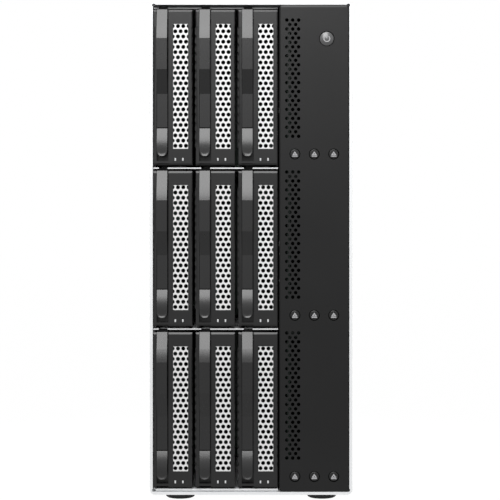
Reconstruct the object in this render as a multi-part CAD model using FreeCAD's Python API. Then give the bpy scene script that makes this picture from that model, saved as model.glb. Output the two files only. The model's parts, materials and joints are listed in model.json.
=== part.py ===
"""Nine-bay disk shelf enclosure, a desktop tower that holds nine 3.5 inch disks on edge, three rows of three.

An extruded aluminium sleeve slides over a sheet-steel cage of four decks and two side walls. Each bay has a
moulded tray with a perforated steel grille, a hinged handle and a sprung latch. A moulded panel on the right
carries the air vents, the power button and one eject button per bay. Fans, supply and boards sit behind.

Units are millimetres. +Z is up, +X is to the right of a person facing the front, and the front faces -Y.
The origin is the centre of the footprint, on the surface that the feet stand on.
"""

import FreeCAD
import Part

import math
import os

Vector = FreeCAD.Vector

# ---------------------------------------------------------------- driving dimensions

columns = 3
rows = 3

sleeve_width = 157.8
sleeve_height = 384.6
sleeve_wall = 2.2
sleeve_corner = 4.0
foot_height = 5.0
half_depth = 124.0

handle_proud = 6.5
face_y = -half_depth + handle_proud
sleeve_front_y = face_y
sleeve_rear_y = 121.5

tray_width = 30.4
tray_height = 120.9
column_pitch = 33.23
row_pitch = 125.8
first_tray_x = -76.3
first_tray_z = 10.8

deck_thickness = 1.0
deck_gap = (row_pitch - tray_height - deck_thickness) / 2
deck_setback = 7.0
cage_wall = 1.0
cage_rear_y = 58.0

bezel_depth = 14.0
tray_length = 160.0

rear_panel_y = 119.3
rear_panel_thickness = 1.2

inner_half_width = sleeve_width / 2 - sleeve_wall
inner_bottom = foot_height + sleeve_wall
inner_top = foot_height + sleeve_height - sleeve_wall

# ---------------------------------------------------------------- helpers


def box(x0, x1, y0, y1, z0, z1):
    """A block between two corners."""
    return Part.makeBox(x1 - x0, y1 - y0, z1 - z0, Vector(x0, y0, z0))


def rod(radius, start, end):
    """A round bar from one point to another."""
    axis = Vector(*end) - Vector(*start)
    return Part.makeCylinder(radius, axis.Length, Vector(*start), axis)


def fuse(shapes):
    """One solid from shapes that touch or overlap."""
    return shapes[0].multiFuse(shapes[1:]).removeSplitter()


def place(shape, x=0.0, y=0.0, z=0.0):
    """A copy of a shape, moved."""
    moved = shape.copy()
    moved.translate(Vector(x, y, z))
    return moved


def rounded_rectangle(x0, x1, z0, z1, radius, y):
    """A closed wire in the plane at y, with all four corners rounded."""
    corners = [(x0, z0, 180), (x1, z0, 270), (x1, z1, 0), (x0, z1, 90)]
    edges = []
    ends = []
    for x, z, start in corners:
        cx = x + radius if x == x0 else x - radius
        cz = z + radius if z == z0 else z - radius
        arc = [
            Vector(cx + radius * math.cos(math.radians(a)), y, cz + radius * math.sin(math.radians(a)))
            for a in (start, start + 45, start + 90)
        ]
        if ends:
            edges.append(Part.LineSegment(ends[-1], arc[0]).toShape())
        edges.append(Part.Arc(*arc).toShape())
        ends += [arc[0], arc[2]]
    edges.append(Part.LineSegment(ends[-1], ends[0]).toShape())
    return Part.Wire(edges)


def polygon(points):
    """A closed wire through the points."""
    return Part.makePolygon([Vector(*p) for p in points] + [Vector(*points[0])])


def rectangle(x0, x1, z0, z1, y):
    """A closed wire in the plane at y, with square corners."""
    return polygon([(x0, y, z0), (x1, y, z0), (x1, y, z1), (x0, y, z1)])


def ring(radius, sides, x, y, z):
    """A regular polygon in the plane at y, whose flats touch a circle of the radius."""
    reach = radius / math.cos(math.pi / sides)
    turns = [math.tau * (i + 0.5) / sides for i in range(sides)]
    return polygon([(x + reach * math.cos(a), y, z + reach * math.sin(a)) for a in turns])


def plate(outline, holes, thickness):
    """A flat plate along +Y from an outline at its front, with all its holes punched at once."""
    face = Part.Face([outline] + holes, "Part::FaceMakerBullseye")
    return face.extrude(Vector(0, thickness, 0))


def profile(path, x0, x1):
    """A solid along X from a closed path in the YZ plane: a pair is a corner, and two pairs are an arc."""
    edges = []
    here = Vector(x0, *path[0])
    for step in path[1:] + [path[0]]:
        if len(step) == 2 and isinstance(step[0], tuple):
            middle, end = (Vector(x0, *p) for p in step)
            edges.append(Part.Arc(here, middle, end).toShape())
        else:
            end = Vector(x0, *step)
            edges.append(Part.LineSegment(here, end).toShape())
        here = end
    return Part.Face(Part.Wire(edges)).extrude(Vector(x1 - x0, 0, 0))


def bevelled_block(x0, x1, z0, z1, depth, bevels):
    """A block along +Y from y = 0, bevelled round its front by side, bottom and top sizes."""
    side, bottom, top = bevels
    upright = [(0, z0 + bottom), (0, z1 - top), (top, z1), (depth, z1), (depth, z0), (bottom, z0)]
    across = [(x0 + side, 0), (x1 - side, 0), (x1, side), (x1, depth), (x0, depth), (x0, side)]
    plan = Part.Face(polygon([(x, y, z0) for x, y in across])).extrude(Vector(0, 0, z1 - z0))
    return profile(upright, x0, x1).common(plan)


def slot_row(x0, x1, lowest, count, pitch, height, y):
    """Wires of equal level slots, one above the other."""
    return [rectangle(x0, x1, lowest + i * pitch, lowest + i * pitch + height, y) for i in range(count)]


def save(name, solids):
    """Writes one node. Loose pieces of the same kind are kept apart as separate solids."""
    shape = solids if isinstance(solids, Part.Shape) else Part.Compound(solids)
    shape.exportStep("parts/" + name + ".step")


def bay_name(row, column):
    """Bays are counted from the top left."""
    return "r%dc%d" % (row + 1, column + 1)


def bay_corner(row, column):
    """The lower left front corner of a bay's tray."""
    z = first_tray_z + (rows - 1 - row) * row_pitch
    return first_tray_x + column * column_pitch, face_y, z


bays = [(row, column) for row in range(rows) for column in range(columns)]
os.makedirs("parts", exist_ok=True)

# ---------------------------------------------------------------- tray, a moulded carrier with its bezel
# In the tray's own frame X is across, Y goes in from the bezel's face, and Z is up from its lower edge.

channel_left = 2.6
channel_right = 11.9
channel_depth = 8.0
channel_floor = 1.4
divider = 1.2
skin = 1.2
wall = 1.4
ledge_bottom = 1.2
ledge_top = 2.9
bevel_top = 1.5
bevel_bottom = 1.2
bevel_side = 0.7
light_x = (17.2, 23.1)
light_z = 4.2

window_left = 15.5
window_width = 11.7
window_bottom = 12.5
window_top = 110.1

hinge_y = 4.0
hinge_z = tray_height - 6.0
peg_radius = 1.5
peg_clearance = 0.08
swing_depth = 12.4

plate_left = 1.4
plate_right = 3.0
rail_right = 29.2
rail_height = 9.0
rail_web = 2.0
groove_centre = 15.2
groove_width = 4.4
rib = 1.6

latch_bottom = 6.7
latch_top = 28.4
latch_travel = 2.4
latch_back = 6.4
tenon_y0 = 4.2
tenon_y1 = 5.8
tenon_z0 = 12.0
tenon_z1 = 24.0

screw_hole = 1.9
screw_spacing = 95.25
screw_y = 119.2


def tray_rail():
    """The lower rail: a web that carries the disk, on two ribs that straddle the guide's ridge."""
    left, right = groove_centre - groove_width / 2, groove_centre + groove_width / 2
    under = rail_height - rail_web
    pieces = [box(plate_right, rail_right, bezel_depth, tray_length, under, rail_height)]
    for x0 in (left - rib, right):
        pieces.append(box(x0, x0 + rib, bezel_depth, tray_length, 0, under + 0.1))
    return fuse(pieces)


def make_tray():
    """A moulded bezel, and behind it a side plate between two runners. They are fixed end to end."""
    bezel = bevelled_block(0, tray_width, 0, tray_height, bezel_depth, (bevel_side, bevel_bottom, bevel_top))
    chamber_left = channel_right + divider
    chamber_right = tray_width - divider
    behind = channel_depth + channel_floor
    open_back = bezel_depth + 1
    bezel = bezel.cut(box(chamber_left, chamber_right, skin, open_back, wall, tray_height - wall))
    bezel = bezel.cut(box(channel_left, channel_right, behind, open_back, wall, tray_height - wall))

    bulkhead_bottom = tray_height - 14
    bulkhead = box(channel_left, channel_right, swing_depth, bezel_depth, bulkhead_bottom, tray_height - wall)
    bezel = fuse([bezel, bulkhead])

    cuts = [box(window_left, window_left + window_width, -1, skin + 1, window_bottom, window_top)]
    cuts.append(box(channel_left, channel_right, -1, channel_depth, ledge_top, tray_height + 1))
    cuts.append(box(channel_left, channel_right, -1, swing_depth, tray_height - 10.2, tray_height + 1))
    cuts.append(box(channel_left, channel_right, -1, 6.0, -1, ledge_bottom))

    # square seats for the hinge pegs: blind on the left, through the divider on the right
    seat = peg_radius + peg_clearance
    seats = (hinge_y - seat, hinge_y + seat, hinge_z - seat, hinge_z + seat)
    cuts.append(box(channel_left - 1.6, channel_right + divider + 0.1, *seats))

    # slots that hold the latch and let it slide down
    slot = (tenon_y0 - 0.2, tenon_y1 + 0.2, tenon_z0 - latch_travel - 0.3, tenon_z1 + 0.2)
    cuts.append(box(channel_left - 0.8, channel_right + divider + 0.1, *slot))

    # two light-pipe windows under the grille
    for x in light_x:
        cuts.append(box(x - 0.7, x + 0.7, -1, skin + 1, light_z - 1.2, light_z + 1.2))

    bezel = bezel.cut(Part.Compound(cuts)).removeSplitter()

    # the side plate, with an air window and two screw holes for the disk
    plate_holes = [box(plate_left - 1, plate_right + 1, 30, 104, 22, tray_height - 22)]
    for z in (tray_height / 2 - screw_spacing / 2, tray_height / 2 + screw_spacing / 2):
        plate_holes.append(rod(screw_hole, (plate_left - 1, screw_y, z), (plate_right + 1, screw_y, z)))
    side = box(plate_left, plate_right, bezel_depth, tray_length, 0, tray_height)
    side = side.cut(Part.Compound(plate_holes))

    lower = tray_rail()
    upper = lower.mirror(Vector(0, 0, tray_height / 2), Vector(0, 0, 1))
    return [bezel, side, lower, upper]


# ---------------------------------------------------------------- grille, punched steel behind the window

grille_thickness = 0.8
grille_edge = 1.6
grille_margin = 0.6
grille_slots = 6
grille_bar = 3.0


def make_grille():
    """A strip against the back of the bezel's skin. Each slot stands for four rows of small holes."""
    left, right = window_left - grille_edge, window_left + window_width + grille_edge
    outline = rectangle(left, right, window_bottom - grille_edge, window_top + grille_edge, skin)
    pitch = (window_top - window_bottom - grille_bar) / grille_slots
    lowest = window_bottom + grille_bar
    span = (window_left + grille_margin, window_left + window_width - grille_margin)
    slots = slot_row(*span, lowest, grille_slots, pitch, pitch - grille_bar, skin)
    return plate(outline, slots, grille_thickness)


# ---------------------------------------------------------------- handle, hinged at its top on two pegs

handle_left = 2.9
handle_right = 11.0
handle_back = 5.8
knuckle_radius = 2.4
knuckle_low = -40
knuckle_high = 21
handle_foot = latch_top + 0.8
handle_top = tray_height + 2.3
grip_upper = tray_height - 21.6
grip_lower = tray_height - 45.8
cove_end = tray_height - 64.6
handle_front = 0.2
notch_left = 4.1
notch_right = 11.1


def handle_outline():
    """The bar seen from the front: at its top, a narrower claw fits the notch in the deck."""
    shoulder = tray_height + 1.0
    claw_left, claw_right = notch_left + 0.3, notch_right - 0.3
    outline = [
        (handle_left, -20, 0),
        (handle_right, -20, 0),
        (handle_right, -20, shoulder),
        (claw_right, -20, shoulder),
        (claw_right, -20, handle_top + 1),
        (claw_left, -20, handle_top + 1),
        (claw_left, -20, shoulder),
        (handle_left, -20, shoulder),
    ]
    return Part.Face(polygon(outline)).extrude(Vector(0, 40, 0))


def around_hinge(radius, degrees):
    """A point in the YZ plane round the hinge's axis, counted from +Y towards +Z."""
    turn = math.radians(degrees)
    return hinge_y + radius * math.cos(turn), hinge_z + radius * math.sin(turn)


def make_handle():
    """A bar that slopes out to a flat grip, coves back in and runs flush down to the latch."""
    path = [
        (0.6, handle_top),
        (-3.7, handle_top - 12.9),
        ((-5.35, handle_top - 18.4), (-handle_proud, grip_upper)),
        (-handle_proud, grip_lower),
        ((-1.6, grip_lower - 8.9), (handle_front, cove_end)),
        (handle_front, handle_foot),
        (handle_back, handle_foot),
        (handle_back, around_hinge(knuckle_radius, knuckle_low)[1]),
        around_hinge(knuckle_radius, knuckle_low),
        (around_hinge(knuckle_radius, 0), around_hinge(knuckle_radius, knuckle_high)),
        (3.4, handle_top),
    ]
    bar = profile(path, handle_left, handle_right).common(handle_outline())
    side = 1.4
    inner = (handle_left + side, handle_right - side)
    grip_pocket = box(*inner, 1.8 - handle_proud, handle_back + 1, grip_lower + 2, grip_upper - 2)
    shank_pocket = box(*inner, handle_front + side, handle_back + 1, handle_foot + 3, hinge_z - 5)
    bar = bar.cut(Part.Compound([grip_pocket, shank_pocket]))
    peg = [around_hinge(peg_radius, 22.5 + 45 * i) for i in range(8)]
    pegs = [
        profile(peg, channel_left - 1.4, handle_left + 1),
        profile(peg, handle_right - 1, channel_right + divider - 0.1),
    ]
    return fuse([bar] + pegs)


# ---------------------------------------------------------------- latch, a thumb tab that slides down


def make_latch():
    """A tongue with a swelling face and a lip at its foot, held by a tenon at each side."""
    swell_y = -3.0
    path = [
        (0.2, latch_top),
        (-2.1, latch_top - 7.5),
        (swell_y, latch_bottom + 7.2),
        (swell_y, latch_bottom + 3.3),
        (-4.6, latch_bottom + 1.3),
        (-3.8, latch_bottom),
        (2.0, latch_bottom),
        (latch_back, latch_bottom + 2),
        (latch_back, latch_top),
    ]
    tab = profile(path, handle_left, handle_right)
    middle_x = (handle_left + handle_right) / 2
    tongue = [
        (handle_left, -20, latch_top),
        (handle_left, -20, latch_bottom + 4.0),
        (handle_left + 0.9, -20, latch_bottom + 1.4),
        (middle_x - 1.9, -20, latch_bottom),
        (middle_x + 1.9, -20, latch_bottom),
        (handle_right - 0.9, -20, latch_bottom + 1.4),
        (handle_right, -20, latch_bottom + 4.0),
        (handle_right, -20, latch_top),
    ]
    tab = tab.common(Part.Face(polygon(tongue)).extrude(Vector(0, 40, 0)))
    tenons = box(channel_left - 0.6, channel_right + divider - 0.2, tenon_y0, tenon_y1, tenon_z0, tenon_z1)
    return fuse([tab, tenons])


# ---------------------------------------------------------------- sleeve, decks, cage walls and guides


def make_sleeve():
    """One aluminium extrusion round the whole body."""
    half, top = sleeve_width / 2, foot_height + sleeve_height
    outer = rounded_rectangle(-half, half, foot_height, top, sleeve_corner, sleeve_front_y)
    inner = rectangle(-inner_half_width, inner_half_width, inner_bottom, inner_top, sleeve_front_y)
    return plate(outer, [inner], sleeve_rear_y - sleeve_front_y)


cage_left = -inner_half_width + 0.3
cage_right = first_tray_x + (columns - 1) * column_pitch + tray_width + 2.1
wall_front_y = face_y + 16.5
deck_front_y = face_y + deck_setback
deck_tops = [first_tray_z - deck_gap + row * row_pitch for row in range(rows + 1)]
notch_depth = 7.0
deck_front_right = 21.0
hem_depth = 2.4
hem_height = 0.6


def make_deck(level):
    """A steel shelf. Each deck above a row is notched at the front for the tops of that row's handles."""
    top = deck_tops[level]
    bottom = top - deck_thickness
    ends = level in (0, rows)
    rear_left = cage_left if ends else cage_left + cage_wall
    rear_right = cage_right + cage_wall if ends else cage_right
    neck_y = wall_front_y - 0.3
    front = box(cage_left, deck_front_right, deck_front_y, neck_y, bottom, top)
    deck = fuse([front, box(rear_left, rear_right, neck_y, cage_rear_y, bottom, top)])
    if level == 0:
        hem = box(cage_left, deck_front_right, deck_front_y, deck_front_y + hem_depth, top, top + hem_height)
        return deck.fuse(hem).removeSplitter()
    for column in range(columns):
        x = first_tray_x + column * column_pitch
        notch = (x + notch_left, x + notch_right, deck_front_y - 1, deck_front_y + notch_depth)
        deck = deck.cut(box(*notch, bottom - 1, top + 1))
    return deck


def make_cage_walls():
    """Two side walls with an air window at each row, between the bottom deck and the top deck."""
    bottom, top = deck_tops[0], deck_tops[rows] - deck_thickness
    walls = []
    for x in (cage_left, cage_right):
        front = wall_front_y if x < 0 else face_y + 12.8
        sheet = box(x, x + cage_wall, front, cage_rear_y, bottom, top)
        holes = []
        for row in range(rows):
            z = first_tray_z + row * row_pitch + tray_height / 2
            holes.append(box(x - 1, x + cage_wall + 1, -85, 5, z - 30, z + 30))
        walls.append(sheet.cut(Part.Compound(holes)))
    return walls


guide_front_y = face_y + 17.0
guide_rear_y = face_y + 148.0
guide_half = 10.0
ridge_half = 1.8
ridge_height = 2.1
guide_play = 0.1


def make_guide():
    """A plastic runner: a flat base with a ridge that a tray's two ribs straddle."""
    base_top = deck_gap - guide_play
    base = box(-guide_half, guide_half, guide_front_y, guide_rear_y, 0, base_top)
    ridge = box(-ridge_half, ridge_half, guide_front_y, guide_rear_y, 0, base_top + ridge_height)
    return fuse([base, ridge])


def make_guides():
    """A runner under and over each bay."""
    lower = make_guide()
    upper = lower.mirror(Vector(0, 0, 0), Vector(0, 0, 1))
    runners = []
    for row, column in bays:
        x, _, z = bay_corner(row, column)
        runners.append(place(lower, x + groove_centre, 0, z - deck_gap))
        runners.append(place(upper, x + groove_centre, 0, z + tray_height + deck_gap))
    return runners


# ---------------------------------------------------------------- front panel with vents and button seats

panel_left = 22.2
panel_right = inner_half_width - 0.2
panel_bottom = inner_bottom + 0.2
panel_top = inner_top - 0.2
panel_depth = 12.0
panel_skin = 2.2
panel_wall = 1.6
panel_bevels = (1.0, 1.0, 1.8)
vent_x = 32.5
vent_half = 6.0
vent_height = 14.0
vent_pitch = 17.4
vent_lowest = 32.3
vent_count = 6

button_clearance = 0.2
button_sides = 12
eject_radius = 3.8
eject_first_x = 34.2
eject_pitch = 15.15
eject_height = 8.4
power_radius = 4.8
power_x = 59.1
power_z = 360.8
eject_spots = [
    (eject_first_x + column * eject_pitch, bay_corner(row, 0)[2] + eject_height) for row, column in bays
]


def make_front_panel():
    """A shallow moulded cover with three groups of air slots and a seat for each button."""
    outline = rectangle(panel_left, panel_right, panel_bottom, panel_top, face_y)
    holes = [ring(power_radius + button_clearance, button_sides, power_x, face_y, power_z)]
    holes += [ring(eject_radius + button_clearance, button_sides, x, face_y, z) for x, z in eject_spots]
    left, right = vent_x - vent_half, vent_x + vent_half
    for row in range(rows):
        lowest = vent_lowest + row * row_pitch
        holes += slot_row(left, right, lowest, vent_count, vent_pitch, vent_height, face_y)
    front = plate(outline, holes, panel_skin)
    block = bevelled_block(panel_left, panel_right, panel_bottom, panel_top, panel_skin, panel_bevels)
    front = front.common(place(block, 0, face_y, 0))
    behind, edge = face_y + panel_skin, panel_wall
    outer = rectangle(panel_left, panel_right, panel_bottom, panel_top, behind)
    inner = rectangle(panel_left + edge, panel_right - edge, panel_bottom + edge, panel_top - edge, behind)
    return fuse([front, plate(outer, [inner], panel_depth - panel_skin)])


button_travel = 1.2
board_y = face_y + 17.0
switch_height = 3.0


def make_button(radius, face):
    """A cap with two ears behind the panel and a square stem that reaches its switch."""
    collar = panel_skin + 0.05
    stem_end = board_y - face_y - switch_height - button_travel - 0.2
    cap = plate(ring(radius, button_sides, 0, face, 0), [], collar - face)
    reach = radius + 0.8
    ears = box(-reach, reach, collar, collar + 1.2, -1.8, 1.8)
    return fuse([cap, ears, box(-1.8, 1.8, collar, stem_end, -1.8, 1.8)])


# ---------------------------------------------------------------- circuit boards and what is soldered to them

backplane_y = 52.0
board_thickness = 1.6
socket_x = 6.6
main_board_x = 71.2


def make_boards():
    """Three backplanes behind the bays, the controller board on the right and the button board."""
    boards = []
    for row in range(rows):
        _, _, z = bay_corner(row, 0)
        left, right = cage_left + cage_wall + 0.4, cage_right - 0.4
        outline = rectangle(left, right, z + 1.0, z + tray_height - 1.0, backplane_y)
        slots = []
        for column in range(columns):
            x = first_tray_x + column * column_pitch
            slots.append(rectangle(x + 14, x + 27, z + 14, z + 106, backplane_y))
        boards.append(plate(outline, slots, board_thickness))
    boards.append(box(main_board_x, main_board_x + board_thickness, -20, 116, 108, 350))
    strip = rectangle(eject_first_x - 6, power_x + 12, panel_bottom + 3, panel_top - 3, board_y)
    cut_outs = []
    for row in range(rows):
        _, _, z = bay_corner(row, 0)
        cut_outs.append(rectangle(eject_first_x - 3, power_x - 10, z + 18, z + 116, board_y))
    boards.append(plate(strip, cut_outs, board_thickness))
    return boards


def make_drive_socket():
    """The combined data and power socket that a disk plugs on to."""
    return box(-3, 3, -8, 0, 0, 44).cut(box(-1.3, 1.3, -8.1, -1.6, 1.6, 42.4))


def make_host_port():
    """A reversible host port: a steel shell with its tongue, opening to the rear."""
    length = 7.4
    shell = box(-1.6, 1.6, 0, length, -4.47, 4.47).cut(box(-1.3, 1.3, 1.2, length + 1, -4.17, 4.17))
    tongue = box(-0.35, 0.35, 1.0, length - 0.9, -3.4, 3.4)
    return fuse([shell, tongue])


host_port_z = (206.0, 232.0)
host_port_x = main_board_x - 2.0


def make_board_parts():
    """Nine drive sockets, two host ports and ten push switches."""
    parts = []
    socket = make_drive_socket()
    for row, column in bays:
        x, _, z = bay_corner(row, column)
        parts.append(place(socket, x + socket_x, backplane_y, z + 22))
    for z in host_port_z:
        parts.append(place(make_host_port(), host_port_x, rear_panel_y - 6.6, z))
    for x, z in [(power_x, power_z)] + eject_spots:
        parts.append(box(x - 3, x + 3, board_y - switch_height, board_y, z - 3, z + 3))
    return parts


# ---------------------------------------------------------------- fans

fan_size = 120.0
fan_depth = 25.0
fan_x = -15.0
fan_z = (316.0, 190.0)
fan_front_y = rear_panel_y - fan_depth
fan_bore = 58.2
hub_radius = 19.5
shaft_radius = 2.5
fan_sides = 24
blade_tip = 54.5
blade_chord = 25.0
blade_pitch = 35.0
blade_thickness = 1.5
blade_count = 7


def make_fan_frame():
    """A square frame with a round bore, and a motor seat on four struts at the rear."""
    half = fan_size / 2
    frame = plate(rectangle(-half, half, -half, half, 0), [ring(fan_bore, fan_sides, 0, 0, 0)], fan_depth)
    seat_y = fan_depth - 3.5
    seat = plate(ring(hub_radius, fan_sides, 0, seat_y, 0), [], 3.5)
    struts = []
    for i in range(4):
        strut = box(hub_radius - 1, fan_bore + 1, seat_y + 0.5, fan_depth, -2.2, 2.2)
        strut.rotate(Vector(0, 0, 0), Vector(0, 1, 0), 25 + 90 * i)
        struts.append(strut)
    return fuse([frame, seat] + struts)


def make_blade():
    """A blade of even width and pitch that stands on the hub, bent once at its middle."""
    along = (math.cos(math.radians(blade_pitch)), math.sin(math.radians(blade_pitch)))
    middle_y = (fan_depth - 3.5) / 2 - 1.6
    camber = blade_chord * 0.09
    outline = []
    for share, height in ((-0.5, 1), (0, 1), (0.5, 1), (0.5, 0), (0, 0), (-0.5, 0)):
        rise = blade_thickness * height + (0 if share else camber)
        x = along[0] * blade_chord * share - along[1] * rise
        y = along[1] * blade_chord * share + along[0] * rise
        outline.append((x, middle_y + y, hub_radius - 2.5))
    return Part.Face(polygon(outline)).extrude(Vector(0, 0, blade_tip - hub_radius + 2.5))


def make_rotor():
    """A hub with seven blades and a shaft, turning about Y."""
    hub_front, hub_rear = 1.5, fan_depth - 4.2
    hub = plate(ring(hub_radius, fan_sides, 0, hub_front, 0), [], hub_rear - hub_front)
    shaft = rod(shaft_radius, (0, hub_front + 1, 0), (0, hub_rear + 0.5, 0))
    blade = make_blade()
    blades = []
    for i in range(blade_count):
        turned = blade.copy()
        turned.rotate(Vector(0, 0, 0), Vector(0, 1, 0), 360.0 / blade_count * i)
        blades.append(turned)
    return fuse([hub, shaft] + blades)


def make_fan_guard():
    """A flat barred guard, as wide as the fan, that is screwed on from the rear."""
    half = 59.0
    reach, bar, pitch = 54.0, 2.4, 15.0
    slots = []
    for i in range(-3, 4):
        z = i * pitch
        width = math.sqrt(reach**2 - (abs(z) + pitch / 2 - bar) ** 2)
        slots.append(rectangle(-width, width, z - (pitch - bar) / 2, z + (pitch - bar) / 2, 0))
    return plate(rectangle(-half, half, -half, half, 0), slots, 1.0)


# ---------------------------------------------------------------- rear panel, power supply, inlet and feet

supply_left = 31.0
supply_width = 40.5
supply_length = 150.0
supply_bottom = 12.0
supply_height = 81.5
supply_sheet = 1.0
inlet_z = 31.0
inlet_x = supply_left + supply_width / 2
inlet_body_half_x = 13.6
inlet_body_half_z = 9.8


def make_rear_panel():
    """A steel sheet inside the sleeve's rear edge, cut out for the fans, the supply and the ports."""
    gap = 0.2
    side = inner_half_width - gap
    outline = rectangle(-side, side, inner_bottom + gap, inner_top - gap, rear_panel_y)
    holes = [ring(56.5, fan_sides, fan_x, rear_panel_y, z) for z in fan_z]
    lip = 2.5
    left, right = supply_left + lip, supply_left + supply_width - lip
    low, high = supply_bottom + lip, supply_bottom + supply_height - lip
    holes.append(rectangle(left, right, low, high, rear_panel_y))
    for z in host_port_z:
        holes.append(rectangle(host_port_x - 2.2, host_port_x + 2.2, z - 5.1, z + 5.1, rear_panel_y))
    lock_x, lock_z = 66.0, 368.0
    holes.append(rectangle(lock_x - 3.5, lock_x + 3.5, lock_z - 1.5, lock_z + 1.5, rear_panel_y))
    holes += slot_row(-66, 18, 20, 6, 16.0, 9.0, rear_panel_y)
    return plate(outline, holes, rear_panel_thickness)


def make_power_supply():
    """A folded steel case with air slots at both ends and a cut-out for the inlet at its rear."""
    rear = rear_panel_y
    front = rear - supply_length
    right, top = supply_left + supply_width, supply_bottom + supply_height
    case = box(supply_left, right, front, rear, supply_bottom, top)
    t = supply_sheet
    case = case.cut(box(supply_left + t, right - t, front + t, rear - t, supply_bottom + t, top - t))
    cuts = []
    for i in range(3):
        z = supply_bottom + 42 + i * 12
        cuts.append(box(supply_left + 6, right - 6, rear - 3, rear + 1, z, z + 7))
    cuts.append(
        box(
            inlet_x - inlet_body_half_x - 0.15,
            inlet_x + inlet_body_half_x + 0.15,
            rear - 3,
            rear + 1,
            inlet_z - inlet_body_half_z - 0.15,
            inlet_z + inlet_body_half_z + 0.15,
        )
    )
    for i in range(3):
        z = supply_bottom + 14 + i * 20
        cuts.append(box(supply_left + 8, right - 8, front - 1, front + 3, z, z + 12))
    return case.cut(Part.Compound(cuts))


def make_inlet():
    """A mains inlet: flange, raised collar, and a keyed socket with three flat blades."""
    rear = rear_panel_y
    flange = box(inlet_x - 15, inlet_x + 15, rear, rear + 1.6, inlet_z - 11.5, inlet_z + 11.5)
    body = box(
        inlet_x - inlet_body_half_x,
        inlet_x + inlet_body_half_x,
        rear - 17,
        half_depth,
        inlet_z - inlet_body_half_z,
        inlet_z + inlet_body_half_z,
    )
    key = 4.2
    half_x, half_z = 12.1, 8.3
    socket = [
        (inlet_x - half_x, rear - 14.5, inlet_z - half_z),
        (inlet_x + half_x, rear - 14.5, inlet_z - half_z),
        (inlet_x + half_x, rear - 14.5, inlet_z + half_z - key),
        (inlet_x + half_x - key, rear - 14.5, inlet_z + half_z),
        (inlet_x - half_x + key, rear - 14.5, inlet_z + half_z),
        (inlet_x - half_x, rear - 14.5, inlet_z + half_z - key),
    ]
    cavity = Part.Face(polygon(socket)).extrude(Vector(0, half_depth - rear + 16, 0))
    blades = []
    for dx, dz in ((-7.0, -1.5), (0.0, 2.5), (7.0, -1.5)):
        x, z = inlet_x + dx, inlet_z + dz
        blades.append(box(x - 1.0, x + 1.0, rear - 15, rear - 1.0, z - 2.0, z + 2.0))
    return fuse([fuse([flange, body]).cut(cavity)] + blades)


foot_radius = 11.4
foot_x = 56.0
foot_y = 97.0


foot_sides = 16


def make_foot():
    """A rubber foot with its lower edge broken, drawn along Y and then stood up."""
    edge = 1.4
    levels = ((foot_radius - edge, 0), (foot_radius, edge), (foot_radius, foot_height))
    foot = Part.makeLoft([ring(radius, foot_sides, 0, y, 0) for radius, y in levels], True, True)
    foot.rotate(Vector(0, 0, 0), Vector(1, 0, 0), 90)
    return foot


# ---------------------------------------------------------------- the nodes

tray = make_tray()
grille = make_grille()
handle = make_handle()
latch = make_latch()
for row, column in bays:
    corner = bay_corner(row, column)
    name = bay_name(row, column)
    save("tray_" + name, [place(piece, *corner) for piece in tray])
    save("grille_" + name, place(grille, *corner))
    save("handle_" + name, place(handle, *corner))
    save("latch_" + name, place(latch, *corner))

eject_button = make_button(eject_radius, 0.3)
for (row, column), (x, z) in zip(bays, eject_spots):
    save("eject_button_" + bay_name(row, column), place(eject_button, x, face_y, z))
save("power_button", place(make_button(power_radius, -0.4), power_x, face_y, power_z))

save("outer_sleeve", make_sleeve())
save("drive_cage", [make_deck(level) for level in range(rows + 1)] + make_cage_walls())
save("guide_rails", make_guides())
save("front_panel", make_front_panel())
save("circuit_boards", make_boards())
save("board_parts", make_board_parts())
save("rear_panel", make_rear_panel())
save("power_supply", make_power_supply())
save("power_inlet", make_inlet())

fan_frame = make_fan_frame()
fan_guard = make_fan_guard()
save("fan_frames", [place(fan_frame, fan_x, fan_front_y, z) for z in fan_z])
save("fan_guards", [place(fan_guard, fan_x, rear_panel_y + rear_panel_thickness, z) for z in fan_z])
rotor = make_rotor()
for name, z in zip(("upper", "lower"), fan_z):
    save("fan_rotor_" + name, place(rotor, fan_x, fan_front_y, z))

foot = make_foot()
save("feet", [place(foot, x, y, 0) for x in (-foot_x, foot_x) for y in (-foot_y, foot_y)])
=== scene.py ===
"""Disk shelf enclosure: finishes, punched sheets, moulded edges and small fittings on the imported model."""

import json
import math

import bmesh
import bpy
from mathutils import Matrix, Vector


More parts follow.
